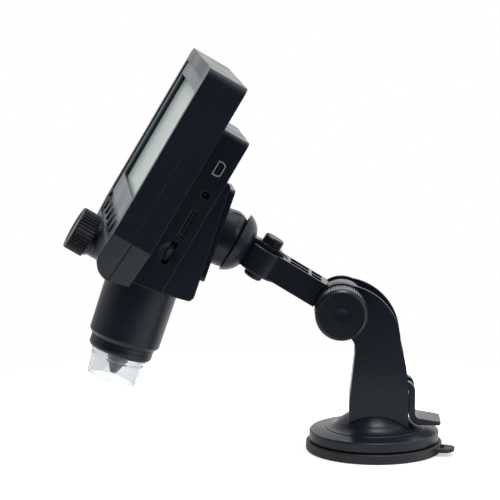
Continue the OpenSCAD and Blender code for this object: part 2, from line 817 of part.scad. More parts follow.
// Four screws hold the collar from behind, four hold the plate to the rear cover.
module collar_screws() color("#9a9da2") {
    in_head() at_ball() {
        for (q = [45:90:359]) rotate([0, 0, q]) translate([11.3, 0, -collar_back - plate_t - 0.02])
            mirror([0, 0, 1]) screw(2, 1.2, 1.08, plate_t + 3.6);
        for (x = [-1, 1], y = [-1, 1])
            translate([plate_mid + x * 19, y * 9.4, -collar_back - 1.15]) screw(2.4, 1.1, 1.25, 4.2);
    }
}

// ---- head housings ----

function chamfer_at(y, inset) = (chamfer_c - inset - chamfer_b / chamfer_l * y) / (chamfer_a / chamfer_l);

// Front outline of the screen case, set in by a wall.
module case_outline(inset) {
    y0 = case_half - inset;
    low = case_v + 5;
    y_low = (chamfer_c - inset - low * chamfer_a / chamfer_l) / (chamfer_b / chamfer_l);
    r = corner_r - inset;
    polygon([
        [-y0, -inset - r], [-y0 + r, -inset - r], [-y0 + r, -inset], [y0 - r, -inset], [y0 - r, -inset - r],
        [y0, -inset - r], [y0, -chamfer_at(y0, inset)], [y_low, -low], [-y_low, -low],
        [-y0, -chamfer_at(y0, inset)]
    ]);
    for (s = [-1, 1]) translate([s * (y0 - r), -inset - r]) circle(r);
}

// Side outline of the screen case, set in by a wall: flat front, rounded chin.
module case_side(inset) {
    mid_v = case_v - chin_r;
    r = chin_r - inset;
    polygon([
        [inset, -inset], [case_d - inset, -inset], [case_d - inset, -chin_back_v + inset],
        [chin_r, -case_v + inset], [chin_r, -mid_v], [inset, -mid_v]
    ]);
    translate([chin_r, -mid_v]) intersection() {
        circle(r);
        translate([-r, -r]) square(r);
    }
}

module case_block(inset, d0, d1) {
    intersection() {
        into(d0, d1) case_outline(inset);
        across(case_half + 1) case_side(inset);
    }
}

function port_bottom(d) = chin_back_v - port_slope * (d - case_d);
function rear_bottom(d) = 100.5 - rear_slope * (d - 38.8);
function rear_back(v) = rear_line_d + rear_line * (v - rear_line_v);

module port_block(inset, d1) {
    intersection() {
        into(port_d0, d1) {
            translate([0, -port_v - inset - 50]) round_rect(2 * (port_half - inset), 100, 2.6 - inset / 2);
        }
        across(port_half) polygon([
            [port_d0 - 1, -port_v - inset], [port_d + 1, -port_v - inset],
            [port_d + 1, -port_bottom(port_d + 1) + inset], [port_d0 - 1, -port_bottom(port_d0 - 1) + inset]
        ]);
    }
}

module rear_side(inset) {
    low_v = 97.6;
    polygon([
        [port_d, -rear_v - inset], [rear_back(rear_v) - 1 - inset, -rear_v - inset],
        [rear_back(rear_v + 1.2) - inset, -rear_v - 1.2 - inset], [rear_back(94.6) - inset, -94.6],
        [rear_back(95.9) - inset - 0.2, -95.9], [rear_back(low_v) - 1.3 - inset, -low_v + inset],
        [rear_back(low_v) - 2.6 - inset, -rear_bottom(rear_back(low_v) - 2.6) + inset],
        [port_d, -rear_bottom(port_d) + inset]
    ]);
}

module rear_block(inset, d0) {
    intersection() {
        across(rear_half - inset) rear_side(inset);
        translate([d0, -50, -150]) cube([100, 100, 200]);
    }
}

module focus_bay() on_barrel() translate([0, 0, bay_top]) cylinder(r = spigot_r + fit, h = 60);

module screw_posts(ys, vs) for (y = ys, v = vs) at(0, y, v) children();
module at_case_screws() for (p = screw_places) at(0, p[0], p[1]) children();

module back_case() color("#15191f") {
    in_head() difference() {
        union() {
            difference() {
                union() {
                    case_block(0.25, seam_d + 0.02, seam_d + 0.4);
                    case_block(0, seam_d + 0.35, case_d);
                }
                intersection() {
                    case_block(wall, seam_d - 1, case_d - wall);
                    rod_x(200, seam_d - 1, case_d);
                }
            }
            intersection() {
                case_block(1, seam_d + 0.02, case_d);
                union() {
                    at_case_screws() rod_x(3, seam_d + 0.02, case_d - wall + 0.5);
                    screw_posts([-board_post_y, board_post_y], [15, 62]) rod_x(2.2, board_d + board_t + 0.02, case_d - wall + 0.5);
                }
            }
            at(case_d - 0.5, -20, 40) rod_x(1.8, 0, port_board_d - case_d + 0.48);
            at(case_d - 0.5, -24, 62) rod_x(1.8, 0, port_board_d - case_d + 0.48);
            at(case_d - 0.5, -20, 74) rod_x(1.8, 0, port_board_d - case_d + 0.48);
        }
        at_case_screws() {
            rod_x(1.3, 0, 40);
            rod_x(2.9, case_d - 2.2, 40);
        }
        screw_posts([-29, 29], port_post_v) rod_x(1.3, 0, 40);
        into(case_d - wall - 1, case_d + 1) translate([22, -84]) round_rect(12, 12, 2);
        focus_bay();
    }
}

module port_housing() color("#12161c") {
    y_in = -port_half + wall;
    in_head() difference() {
        union() {
            difference() {
                port_block(0, port_d);
                intersection() {
                    port_block(wall, port_d - wall);
                    rod_x(200, port_d0 - 1, port_d - wall);
                }
            }
            screw_posts([-29, 29], port_post_v) rod_x(2.6, port_d0 + 0.02, port_d - wall + 0.5);
        }
        translate([0, 0, 0]) {
            at(28.9, 0, usb_v) translate([0, y_in + 1, 0]) rotate([90, 0, 0]) linear_extrude(6)
                polygon([[-2.1, -3.75], [0.6, -3.75], [2.1, -2.9], [2.1, 2.9], [0.6, 3.75], [-2.1, 3.75]]);
            at(31.5, 0, 42.8) rod_y(0.45, -60, y_in + 1);
            at(29.3, 0, jack_v) rod_y(1.9, -60, y_in + 1);
            box(27.7, 30.1, -60, y_in + 1, -card_v - 6, -card_v + 6);
            box(27.4, 30.4, -port_half - 1, -port_half + 0.5, -card_v - 7.9, -card_v - 6.7);
            at(wheel_d, 0, wheel_v) {
                translate([0, -port_half - 13.2, 0]) sphere(14);
                box(-1.5, 1.5, -40, y_in + 1, -5.7, 5.7);
            }
        }
        screw_posts([-29, 29], port_post_v) rod_x(1.25, port_d0 - 1, port_d0 + 9);
        into(port_d - wall - 1, port_d + 1) translate([0, -73]) round_rect(2 * (rear_half - wall) - 1, 52, 2);
        focus_bay();
    }
}

module rear_cover() color("#14181e") {
    pad_half = plate_half - 1.2;
    in_head() difference() {
        union() {
            difference() {
                rear_block(0, port_d + 0.02);
                rear_block(wall, port_d - 1);
            }
            intersection() {
                at_ball() translate([plate_mid - 21.4, -pad_half, -collar_back - plate_t - 8]) cube([42.6, 2 * pad_half, 7.98]);
                rear_pad_zone();
            }
            for (x = [-1, 1], y = [-1, 1]) at_ball()
                translate([plate_mid + x * 19, y * 9.4, -collar_back - plate_t - 5.5]) cylinder(r = 2.6, h = 5);
        }
        at_ball() {
            for (x = [-1, 1], y = [-1, 1]) translate([plate_mid + x * 19, y * 9.4, -collar_back - plate_t - 4])
                cylinder(r = 1.25, h = 10);
            for (q = [45:90:359]) rotate([0, 0, q]) translate([11.3, 0, -collar_back - plate_t - 1.5])
                cylinder(r = 2.4, h = 3);
            intersection() {
                sphere(ball_r + 0.2);
                translate([0, 0, -20]) cylinder(r = 20, h = 30);
            }
        }
        focus_bay();
    }
}

// The strip behind the rear cover's sloping back face, where its pad may stand.
module rear_pad_zone() {
    across(rear_half) polygon([
        [rear_back(rear_v) - 1.2, -rear_v - 0.4], [rear_back(rear_v) + 12, -rear_v - 0.4],
        [rear_back(90) + 12, -90], [rear_back(90) - 1.2, -90]
    ]);
}

module case_screws() color("#7d8085") {
    in_head() {
        at_case_screws() translate([case_d - 2.2 + 0.02, 0, 0]) rotate([0, 90, 0])
            screw(2.6, 1.5, 1.25, 10.5);
        screw_posts([-29, 29], port_post_v) translate([case_d - wall - 0.02, 0, 0]) rotate([0, -90, 0])
            screw(2.4, 1.4, 1.2, 8);
    }
}

module key_places() for (i = [-2.5:1:2.5]) at(0, i * key_pitch, key_v) children();

module front_case() color("#161b22") {
    in_head() difference() {
        union() {
            difference() {
                case_block(0, 0, seam_d);
                intersection() {
                    case_block(wall, -1, seam_d + 1);
                    rod_x(200, front_t, seam_d + 1);
                }
            }
            intersection() {
                case_block(1, 1, seam_d - 0.02);
                union() {
                    at_case_screws() rod_x(2.45, front_t - 0.5, seam_d - 0.02);
                    for (i = [-2, -1, 1, 2]) at(0, i * key_pitch, key_v) rod_x(1.8, front_t - 0.5, key_board_d - 0.02);
                }
            }
        }
        at(0, 0, (panel_v + keys_v0) / 2) into(-1, panel_step + panel_t)
            round_rect(2 * panel_half, keys_v0 - panel_v, 3);
        at(0, 0, screen_mid_v) into(-1, 4) round_rect(screen_w, screen_h, 0.8);
        at(0, 0, (keys_v0 + keys_v1) / 2) into(-1, 1.2) round_rect(2 * key_bay_half, keys_v1 - keys_v0 + 0.02, 2.5);
        key_places() into(-1, 4) round_rect(key_w + 0.3, key_h + 0.3, 2.75);
        at_case_screws() rod_x(1.28, front_t, seam_d + 1);
        at(0, 0, focus_v) rod_x(5, -1, 12);
        focus_bay();
    }
}

module front_panel() color("#7f878b") {
    in_head() difference() {
        at(0, 0, (panel_v + keys_v0) / 2) into(panel_step, panel_step + panel_t - 0.02)
            round_rect(2 * panel_half - 0.2, keys_v0 - panel_v - 0.2, 2.9);
        at(0, 0, screen_mid_v) into(-1, 4) round_rect(screen_w, screen_h, 0.8);
    }
}

module lcd_panel() color("#b4bdb8") {
    in_head() at(0, 0, screen_mid_v) into(front_t + 0.1, front_t + 1.5) round_rect(lcd_w - 1.4, lcd_h - 1.4, 0.5);
}

module lcd_frame() color("#8f9396") {
    in_head() at(0, 0, screen_mid_v) difference() {
        into(front_t + 0.05, lcd_frame_back) round_rect(lcd_w, lcd_h, 1);
        into(front_t - 1, front_t + 1.55) round_rect(lcd_w - 1.3, lcd_h - 1.3, 0.5);
    }
}

// ---- keys and boards ----

module one_key(i) color("#23282b") {
    in_head() at(0, (i - 3.5) * key_pitch, key_v) {
        into(0.15, front_t + 0.3) round_rect(key_w, key_h, 2.6);
        into(front_t + 0.05, front_t + 0.65) round_rect(key_w + 1.8, key_h + 1.4, 2.6);
    }
}

module key_1() one_key(1);
module key_2() one_key(2);
module key_3() one_key(3);
module key_4() one_key(4);
module key_5() one_key(5);
module key_6() one_key(6);

module key_board() color("#1f6b45") {
    in_head() {
        difference() {
            at(0, 0, key_v) into(key_board_d, key_board_d + 1) round_rect(2 * (key_bay_half - 1.5), 11.6, 1);
            for (i = [-2, -1, 1, 2]) at(0, i * key_pitch, key_v) rod_x(0.8, 0, 20);
        }
        key_places() rod_x(2.2, front_t + 0.65 + key_travel + 0.05, key_board_d + 0.1);
    }
}

module main_board() color("#1d6a44") {
    in_head() difference() {
        into(board_d, board_d + board_t) translate([0, -39.5]) round_rect(2 * board_half, 59, 1.5);
        screw_posts([-board_post_y, board_post_y], [15, 62]) rod_x(1, 0, 20);
    }
}

module board_chips() color("#202326") {
    back = board_d + board_t + 0.02;
    in_head() {
        for (c = [[6, 36, 16, 16, 1.4], [-16, 30, 12, 9, 1.1], [28, 48, 9, 12, 1.2], [-30, 52, 8, 6, 1.6], [30, 22, 7, 7, 1]])
            box(back, back + c[4], c[0] - c[2] / 2, c[0] + c[2] / 2, -c[1] - c[3] / 2, -c[1] + c[3] / 2);
        box(board_d - 1.9, board_d - 0.02, -12, 12, -70, -66);
        for (y = [-40:8:40]) box(board_d - 0.9, board_d - 0.02, y - 1, y + 1, -60, -58.4);
    }
}

module display_ribbon() color("#b5722a") {
    in_head() {
        box(lcd_frame_back + 0.02, lcd_frame_back + 0.2, -9, 9, -73, -60);
        box(lcd_frame_back + 0.02, board_d - 1.92, -9, 9, -73.2, -73);
        box(board_d - 2.1, board_d - 1.92, -9, 9, -73.2, -66.4);
    }
}

module battery() color("#4a78a8") {
    in_head() at(0, 5, 48) {
        into(case_d + 0.1, case_d + 9.1) round_rect(40, 42, 1.5);
        box(case_d + 2, case_d + 8, -9, 9, 20.5, 22.2);
    }
}

module port_board() color("#1f6b45") {
    in_head() difference() {
        into(port_board_d, port_board_d + port_board_t) polygon([
            [-port_half + wall + 0.3, -32.5], [-16, -32.5], [-16, -91], [-port_half + wall + 0.3, -91]
        ]);
        screw_posts([-29], port_post_v) rod_x(3, 0, 40);
        at(0, wheel_y, wheel_v) rod_x(2.05, 0, 40);
    }
}

module usb_socket() color("#b9bcc0") {
    top = port_board_d + port_board_t + 0.02;
    in_head() at(28.9, 0, usb_v) translate([0, -port_half + 0.1, 0]) difference() {
        rotate([-90, 0, 0]) linear_extrude(9.2)
            polygon([[top - 28.9, 3.45], [0.5, 3.45], [1.95, 2.65], [1.95, -2.65], [0.5, -3.45], [top - 28.9, -3.45]]);
        rotate([-90, 0, 0]) translate([0, 0, -1]) linear_extrude(8)
            polygon([[top - 28.5, 3.05], [0.3, 3.05], [1.55, 2.4], [1.55, -2.4], [0.3, -3.05], [top - 28.5, -3.05]]);
    }
}

module usb_insert() color("#151618") {
    in_head() at(28.9, 0, usb_v) {
        box(-1.5, 0.25, -port_half + 4.6, -port_half + 7.05, -3, 3);
        box(0.2, 1.5, -port_half + 4.6, -port_half + 7.05, -2.3, 2.3);
        box(-0.5, 0.4, -port_half + 1.4, -port_half + 5, -2.1, 2.1);
    }
}

module av_jack() color("#1c1e21") {
    top = port_board_d + port_board_t + 0.02;
    in_head() at(29.3, 0, jack_v) difference() {
        union() {
            box(top - 29.3, 2.6, -port_half + wall + 0.1, -port_half + 14, -3, 3);
            rod_y(1.85, -port_half + 1.5, -port_half + 4);
        }
        rod_y(1.3, -port_half - 1, -port_half + 10);
    }
    in_head() at(29.3, 0, jack_v) rod_y(0.6, -port_half + 0.9, -port_half + 11);
}

module card_socket() color("#a7abb0") {
    top = port_board_d + port_board_t + 0.02;
    in_head() at(0, 0, card_v) difference() {
        box(top, 30.6, -port_half + wall + 0.1, -port_half + 16.5, -6.6, 6.6);
        box(card_d - card_t / 2 - fit, card_d + card_t / 2 + fit, -60, -port_half + 15.1, -card_half - fit, card_half + fit);
    }
}

module memory_card() color("#26282b") {
    in_head() at(0, 0, card_v) difference() {
        box(card_d - card_t / 2, card_d + card_t / 2, -port_half + 0.6, -port_half + 15, -card_half, card_half);
        box(card_d - 2, card_d + 2, -port_half + 8.5, -port_half + 12, card_half - 0.7, 9);
        box(card_d - 2, card_d - card_t / 2 + 0.2, -port_half, -port_half + 1.3, -3.5, 3.5);
    }
}

module reset_switch() color("#2a2c2f") {
    top = port_board_d + port_board_t + 0.02;
    in_head() at(0, 0, 43.2) {
        box(top, 32.6, -port_half + wall + 1.2, -port_half + 6.4, -1.4, 1.2);
        at(31.5, 0, -0.4) rod_y(0.4, -port_half + wall + 0.5, -port_half + wall + 1.3);
    }
}

module dimmer_wheel() color("#1b1d20") {
    in_head() at(wheel_d, wheel_y, wheel_v) translate([-wheel_t / 2, 0, 0]) rotate([90, 0, 90]) difference() {
        linear_extrude(wheel_t) polygon(teeth(36, wheel_r, 0.35));
        translate([0, 0, -1]) cylinder(r = 2 + fit, h = 10);
    }
}

module dimmer_pot() color("#34373b") {
    in_head() at(0, wheel_y, wheel_v) {
        rod_x(2, port_board_d - 1.5, 31.5);
        rod_x(4.4, wheel_d + wheel_t / 2 + 0.05, 31.6);
        rod_x(4.6, port_board_d - 3.2, port_board_d - 0.02);
    }
}

// ---- barrel and optics ----

module barrel() color("#1a2028") {
    in_head() difference() {
        on_barrel() difference() {
            union() {
                translate([0, 0, -14]) cylinder(r1 = barrel_r + 0.1, r2 = barrel_r - 0.35, h = 14 + barrel_end - 2.2);
                translate([0, 0, barrel_end - 2.2]) cylinder(r1 = barrel_r - 0.35, r2 = ring_end_r - 0.1, h = 2.2);
            }
            translate([0, 0, -20]) cylinder(r = bore_r, h = 60);
        }
        difference() {
            union() {
                case_block(-fit, 0, case_d + fit);
                port_block(-fit, port_d + 0.02);
                rear_block(-fit, port_d);
                translate([0, -60, -96]) cube([70, 120, 90]);
            }
            on_barrel() translate([0, 0, spigot_top]) cylinder(r = spigot_r, h = 40);
        }
        on_barrel() translate([0, 0, spigot_top - 20]) cylinder(r = 30, h = 20);
    }
}

module barrel_ring() color("#0d0f11") {
    h = ring_end_h;
    in_head() on_barrel() translate([0, 0, barrel_end + 0.02]) difference() {
        union() {
            rotate_extrude() difference() {
                union() {
                    square([ring_end_r, h - 2]);
                    translate([0, 0]) square([ring_end_r - 2, h]);
                    translate([ring_end_r - 2, h - 2]) circle(2);
                }
                translate([ring_end_r - 0.25, 1.6]) square([1, 0.5]);
            }
            translate([0, 0, -0.6]) cylinder(r = bore_r - fit, h = 1);
        }
        translate([0, 0, -2]) cylinder(r = ring_bore_r, h = 20);
    }
}

module clear_cap() color("#dfe6ea", 0.45) {
    in_head() on_barrel() difference() {
        union() {
            translate([0, 0, barrel_end + 1.6]) cylinder(r = ring_bore_r - fit, h = cap_seat - barrel_end);
            translate([0, 0, cap_seat]) cylinder(r = cap_flange_r, h = 1);
            translate([0, 0, cap_seat + 0.9]) cylinder(r1 = cap_r + 0.2, r2 = cap_r - 0.35, h = cap_end - cap_seat - 0.9);
            translate([0, 0, cap_seat + 2.4]) cylinder(r1 = cap_r + 0.5, r2 = cap_r + 0.2, h = 0.8);
        }
        translate([0, 0, barrel_end]) cylinder(r1 = cap_r - cap_wall + 0.2, r2 = cap_r - cap_wall - 0.35, h = cap_end - barrel_end + 0.01);
    }
}

module lens_nose() color("#101215") {
    in_head() on_barrel() difference() {
        union() {
            translate([0, 0, led_board_top + led_board_t + 0.03]) cylinder(r = nose_r + 1.4, h = 2);
            translate([0, 0, led_board_top - 3]) cylinder(r = nose_r, h = nose_base - led_board_top + 3);
            translate([0, 0, nose_base]) cylinder(r1 = nose_r, r2 = tip_r, h = nose_end - nose_base);
        }
        translate([0, 0, 0]) cylinder(r = tip_r - 0.4, h = 60);
        translate([0, 0, led_board_top - 4]) cylinder(r1 = nose_r - 1.3, r2 = tip_r - 0.4, h = nose_end - led_board_top - 0.2);
    }
}

module front_lens() color("#dfe8ee", 0.5) {
    in_head() on_barrel() translate([0, 0, nose_end - 0.5]) cylinder(r = tip_r - 0.42, h = 0.35);
}

module led_board() color("#e8e8e2") {
    in_head() on_barrel() translate([0, 0, led_board_top]) difference() {
        cylinder(r = bore_r - fit, h = led_board_t);
        translate([0, 0, -1]) cylinder(r = nose_r + fit, h = 5);
    }
}

module leds() color("#f4f4ee") {
    in_head() on_barrel() for (q = [22.5:45:359]) rotate([0, 0, q])
        translate([9.2, 0, led_board_top + led_board_t + 0.02]) {
            cylinder(r = 1.35, h = 1.6);
            translate([0, 0, 1.6]) intersection() {
                sphere(1.35);
                cylinder(r = 2, h = 2);
            }
        }
}

module lens_carriage() color("#2b2e32") {
    slot_h = 2 * (1.2 + 0.15);
    in_head() difference() {
        on_barrel() difference() {
            translate([0, 0, carriage_top]) cylinder(r = carriage_r, h = carriage_end - carriage_top);
            translate([0, 0, carriage_top - 1]) cylinder(r = carriage_r - 1.7, h = 4 - carriage_top + 1 - 5);
            translate([0, 0, 2]) cylinder(r = carriage_r - 1.7, h = 30);
            translate([0, 0, -20]) cylinder(r = 6.2, h = 40);
        }
        at(0, 0, focus_v) box(5, 20, -crank_r - 2.4, crank_r + 2.4, -slot_h / 2, slot_h / 2);
    }
}

module lens_group() color("#cfdbe2", 0.6) {
    in_head() on_barrel() translate([0, 0, 0]) intersection() {
        cylinder(r = 6.15, h = 1.9);
        translate([0, 0, -17]) sphere(18.9);
    }
}

module sensor_board() color("#1f6b45") {
    in_head() on_barrel() {
        translate([0, 0, carriage_top - 1.25]) cylinder(r = carriage_r - 0.3, h = 1.2);
        translate([-3.6, -3.6, carriage_top - 0.1]) cube([7.2, 7.2, 1.1]);
    }
}

// ---- focus knob ----

module focus_knob() color("#131519") {
    in_head() at(-focus_face, 0, focus_v) rotate([90, 0, 90]) difference() {
        union() {
            cylinder(r1 = focus_r - 0.45, r2 = focus_r - 0.15, h = 0.3);
            translate([0, 0, 0.3]) cylinder(r = focus_r - 0.15, h = 0.4);
            translate([0, 0, 0.6]) linear_extrude(focus_grip - 0.6) polygon(teeth(focus_ridges, focus_r, 0.55));
            translate([0, 0, focus_grip - 0.1]) cylinder(r = 9, h = focus_face - 0.6 - focus_grip + 0.1);
        }
        translate([0, 0, -0.1]) cylinder(r1 = focus_r - 2.4, r2 = focus_r - 2.8, h = 0.5);
        translate([0, 0, 1.6]) cylinder(r = 2.52, h = 20);
        translate([0, 0, focus_face - 2.2]) cylinder(r = 8.3, h = 4);
    }
}

module focus_bush() color("#0e1012") {
    in_head() difference() {
        at(0, 0, focus_v) union() {
            difference() {
                rod_x(8.2, -0.5, 6);
                translate([0, 0, focus_v]) case_block(-fit, 0, 12);
            }
            rod_x(4.95, -0.5, 7.6);
        }
        at(0, 0, focus_v) rod_x(2.5 + fit, -5, 12);
    }
}

module focus_shaft() color("#a2a6ab") {
    in_head() at(0, 0, focus_v) {
        rod_x(2.5, -focus_face + 1.8, 8.2);
        rod_x(4.4, 7.8, 9.8);
        at(0, crank_r, 0) rod_x(1.2, 9.5, 15.6);
    }
}

suction_cup();
base_cover();
column();
column_screws();
lever();
lever_pin();
pull_stud();
clamp_bolt();
clamp_knob();
clamp_cap();
friction_washers();
arm();
swivel_pin();
swivel_nut();
neck();
ball_seat();
collar();
mount_plate();
collar_screws();
rear_cover();
port_housing();
back_case();
case_screws();
front_case();
front_panel();
lcd_panel();
lcd_frame();
key_1();
key_2();
key_3();
key_4();
key_5();
key_6();
key_board();
main_board();
board_chips();
display_ribbon();
battery();
port_board();
usb_socket();
usb_insert();
av_jack();
card_socket();
memory_card();
reset_switch();
dimmer_wheel();
dimmer_pot();
barrel();
barrel_ring();
clear_cap();
lens_nose();
front_lens();
led_board();
leds();
lens_carriage();
lens_group();
sensor_board();
focus_knob();
focus_bush();
focus_shaft();
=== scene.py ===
# Looks of a handheld screen microscope on a suction-foot arm.
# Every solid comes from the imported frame; this script gives each one its finish,
# breaks its moulded edges in the shading, and sets the table, the lamps and the camera.

import json

import bmesh
import bpy
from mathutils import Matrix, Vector

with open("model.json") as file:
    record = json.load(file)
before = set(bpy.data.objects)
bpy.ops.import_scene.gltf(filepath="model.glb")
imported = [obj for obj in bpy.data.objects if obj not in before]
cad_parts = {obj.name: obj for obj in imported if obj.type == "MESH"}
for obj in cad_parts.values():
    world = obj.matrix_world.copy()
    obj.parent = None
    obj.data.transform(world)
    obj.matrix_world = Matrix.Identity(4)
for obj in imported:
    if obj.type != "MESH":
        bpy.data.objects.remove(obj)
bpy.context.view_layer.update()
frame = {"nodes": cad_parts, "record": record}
MM = 0.001
FLOAT, COLOUR, VECTOR = "NodeSocketFloat", "NodeSocketColor", "NodeSocketVector"
WHITE = (1, 1, 1, 1)


# ---- helpers for node trees ----

def new_group(name, inputs, outputs):
    """A shader node group with named sockets; gives the group and its two end nodes."""
    group = bpy.data.node_groups.new(name, "ShaderNodeTree")
    for label, kind, value in inputs:
        socket = group.interface.new_socket(label, in_out="INPUT", socket_type=kind)
        socket.default_value = value
    for label, kind in outputs:
        group.interface.new_socket(label, in_out="OUTPUT", socket_type=kind)
    into = group.nodes.new("NodeGroupInput")
    out = group.nodes.new("NodeGroupOutput")
    return group, into, out


def feed(links, socket, value):
    """Put a number on a socket, or link another socket to it."""
    if isinstance(value, (int, float)):
        socket.default_value = value
    else:
        links.new(value, socket)


def noise_at(nodes, links, place, scale, detail, rough=0.5):
    """Cloudy noise at a place; the scale counts its features per metre."""
    noise = nodes.new("ShaderNodeTexNoise")
    noise.inputs["Detail"].default_value = detail
    noise.inputs["Roughness"].default_value = rough
    links.new(place, noise.inputs["Vector"])
    feed(links, noise.inputs["Scale"], scale)
    return noise.outputs["Fac"]


def stretch(nodes, links, value, low, high, to_low, to_high):
    """Carry a value from one range to another with soft ends."""
    m = nodes.new("ShaderNodeMapRange")
    m.interpolation_type = "SMOOTHSTEP"
    labels = ("Value", "From Min", "From Max", "To Min", "To Max")
    for label, v in zip(labels, (value, low, high, to_low, to_high)):
        feed(links, m.inputs[label], v)
    return m.outputs["Result"]


def maths(nodes, links, operation, *values):
    """One sum, product or comparison of the given values."""
    node = nodes.new("ShaderNodeMath")
    node.operation = operation
    for socket, value in zip(node.inputs, values):
        feed(links, socket, value)
    return node.outputs[0]


def mix_colours(nodes, links, factor, first, second):
    """Colour that goes from the first to the second as the factor rises."""
    mix = nodes.new("ShaderNodeMix")
    mix.data_type = "RGBA"
    links.new(factor, mix.inputs["Factor"])
    links.new(first, mix.inputs["A"])
    links.new(second, mix.inputs["B"])
    return mix.outputs["Result"]


# ---- shared surface effects ----

def make_moulded():
    """Moulded skin: spark-eroded grain, slow patches of shine, faint rub marks, and broken edges mixed paler, partly
    from handling and partly as a painted edge highlight.
    """
    patch_scale, smear_scale, edge_samples = 34.0, 140.0, 6
    g, i, o = new_group(
        "moulded_skin",
        [("Colour", COLOUR, (0.02, 0.02, 0.02, 1)), ("Rubbed Colour", COLOUR, (0.05, 0.05, 0.05, 1)),
         ("Roughness", FLOAT, 0.4), ("Roughness Spread", FLOAT, 0.06), ("Grain Scale", FLOAT, 2600.0),
         ("Rub Amount", FLOAT, 0.15), ("Edge Radius", FLOAT, 0.0005), ("Edge Wear", FLOAT, 0.3)],
        [("Colour", COLOUR), ("Roughness", FLOAT), ("Height", FLOAT), ("Normal", VECTOR)])
    n, l = g.nodes, g.links
    place = n.new("ShaderNodeTexCoord").outputs["Object"]
    grain = noise_at(n, l, place, i.outputs["Grain Scale"], 2.0, 0.6)
    patch = noise_at(n, l, place, patch_scale, 3.0)
    smear = noise_at(n, l, place, smear_scale, 4.0, 0.65)
    rub = stretch(n, l, smear, 0.5, 0.78, 0.0, i.outputs["Rub Amount"])
    edge = n.new("ShaderNodeBevel")
    edge.samples = edge_samples
    l.new(i.outputs["Edge Radius"], edge.inputs["Radius"])
    turn = n.new("ShaderNodeVectorMath")
    turn.operation = "DOT_PRODUCT"
    l.new(edge.outputs["Normal"], turn.inputs[0])
    l.new(n.new("ShaderNodeNewGeometry").outputs["Normal"], turn.inputs[1])
    # Broken edges go paler toward the rub colour, partly from handling and partly as a painted highlight for the light
    # that rounded edges catch.
    worn_and_lit_edge = stretch(n, l, turn.outputs["Value"], 0.99, 0.8, 0.0, i.outputs["Edge Wear"])
    paler = maths(n, l, "MAXIMUM", rub, worn_and_lit_edge)
    sway = stretch(n, l, patch, 0.3, 0.7, -1.0, 1.0)
    rough = maths(n, l, "MULTIPLY_ADD", sway, i.outputs["Roughness Spread"], i.outputs["Roughness"])
    l.new(mix_colours(n, l, paler, i.outputs["Colour"], i.outputs["Rubbed Colour"]), o.inputs["Colour"])
    l.new(rough, o.inputs["Roughness"])
    l.new(grain, o.inputs["Height"])
    l.new(edge.outputs["Normal"], o.inputs["Normal"])
    return g


def make_dust():
    """Fine dust that settles on faces that look up."""
    speck_scale = 900.0
    g, i, o = new_group(
        "settled_dust",
        [("Colour", COLOUR, (0, 0, 0, 1)), ("Dust Colour", COLOUR, (0.35, 0.34, 0.32, 1)), ("Amount", FLOAT, 0.03)],
        [("Colour", COLOUR)])
    n, l = g.nodes, g.links
    split = n.new("ShaderNodeSeparateXYZ")
    l.new(n.new("ShaderNodeNewGeometry").outputs["Normal"], split.inputs[0])
    facing = stretch(n, l, split.outputs["Z"], 0.25, 1.0, 0.0, 1.0)
    specks = noise_at(n, l, n.new("ShaderNodeTexCoord").outputs["Object"], speck_scale, 5.0, 0.7)
    lying = stretch(n, l, specks, 0.48, 0.72, 0.15, 1.0)
    amount = maths(n, l, "MULTIPLY", maths(n, l, "MULTIPLY", facing, lying), i.outputs["Amount"])
    l.new(mix_colours(n, l, amount, i.outputs["Colour"], i.outputs["Dust Colour"]), o.inputs["Colour"])
    return g


def make_turned():
    """Turned or rolled metal: fine scratches, dull spots and a slightly uneven shine."""
    line_scale, spot_scale, dull_roughness = 700.0, 420.0, 0.25
    line_squeeze = (1.0, 1.0, 14.0)
    g, i, o = new_group(
        "worked_metal",
        [("Colour", COLOUR, (0.5, 0.5, 0.5, 1)), ("Tarnish", COLOUR, (0.2, 0.18, 0.16, 1)), ("Roughness", FLOAT, 0.3)],
        [("Colour", COLOUR), ("Roughness", FLOAT), ("Height", FLOAT)])
    n, l = g.nodes, g.links
    place = n.new("ShaderNodeTexCoord").outputs["Object"]
    squeeze = n.new("ShaderNodeMapping")
    squeeze.inputs["Scale"].default_value = line_squeeze
    l.new(place, squeeze.inputs["Vector"])
    lines = noise_at(n, l, squeeze.outputs["Vector"], line_scale, 3.0)
    spots = noise_at(n, l, place, spot_scale, 4.0, 0.6)
    dull = stretch(n, l, spots, 0.5, 0.75, 0.0, 0.6)
    l.new(mix_colours(n, l, dull, i.outputs["Colour"], i.outputs["Tarnish"]), o.inputs["Colour"])
    l.new(maths(n, l, "MULTIPLY_ADD", dull, dull_roughness, i.outputs["Roughness"]), o.inputs["Roughness"])
    l.new(lines, o.inputs["Height"])
    return g


moulded_skin, settled_dust, worked_metal = make_moulded(), make_dust(), make_turned()


# ---- materials ----

def linear(r, g, b):
    """A colour given as it looks on screen, 0 to 255, as the shader's linear value."""
    return tuple((c / 255 / 12.92) if c <= 10 else ((c / 255 + 0.055) / 1.055) ** 2.4 for c in (r, g, b)) + (1.0,)


def start_material(name):
    """A new material, with its nodes, its links and its main shader."""
    mat = bpy.data.materials.new(name)
    mat.use_nodes = True
    nodes, links = mat.node_tree.nodes, mat.node_tree.links
    return mat, nodes, links, nodes["Principled BSDF"]


def place_group(nodes, group, **values):
    """Put a shared effect into a material with that material's own values."""
    node = nodes.new("ShaderNodeGroup")
    node.node_tree = group
    for label, value in values.items():
        node.inputs[label.replace("_", " ")].default_value = value
    return node


def lift(nodes, links, face, shader, distance, strength=0.4):
    """Fine relief from a group's height, laid over its normal where it has one."""
    bump = nodes.new("ShaderNodeBump")
    bump.inputs["Strength"].default_value = strength
    bump.inputs["Distance"].default_value = distance
    links.new(face.outputs["Height"], bump.inputs["Height"])
    if "Normal" in face.outputs:
        links.new(face.outputs["Normal"], bump.inputs["Normal"])
    links.new(bump.outputs["Normal"], shader.inputs["Normal"])


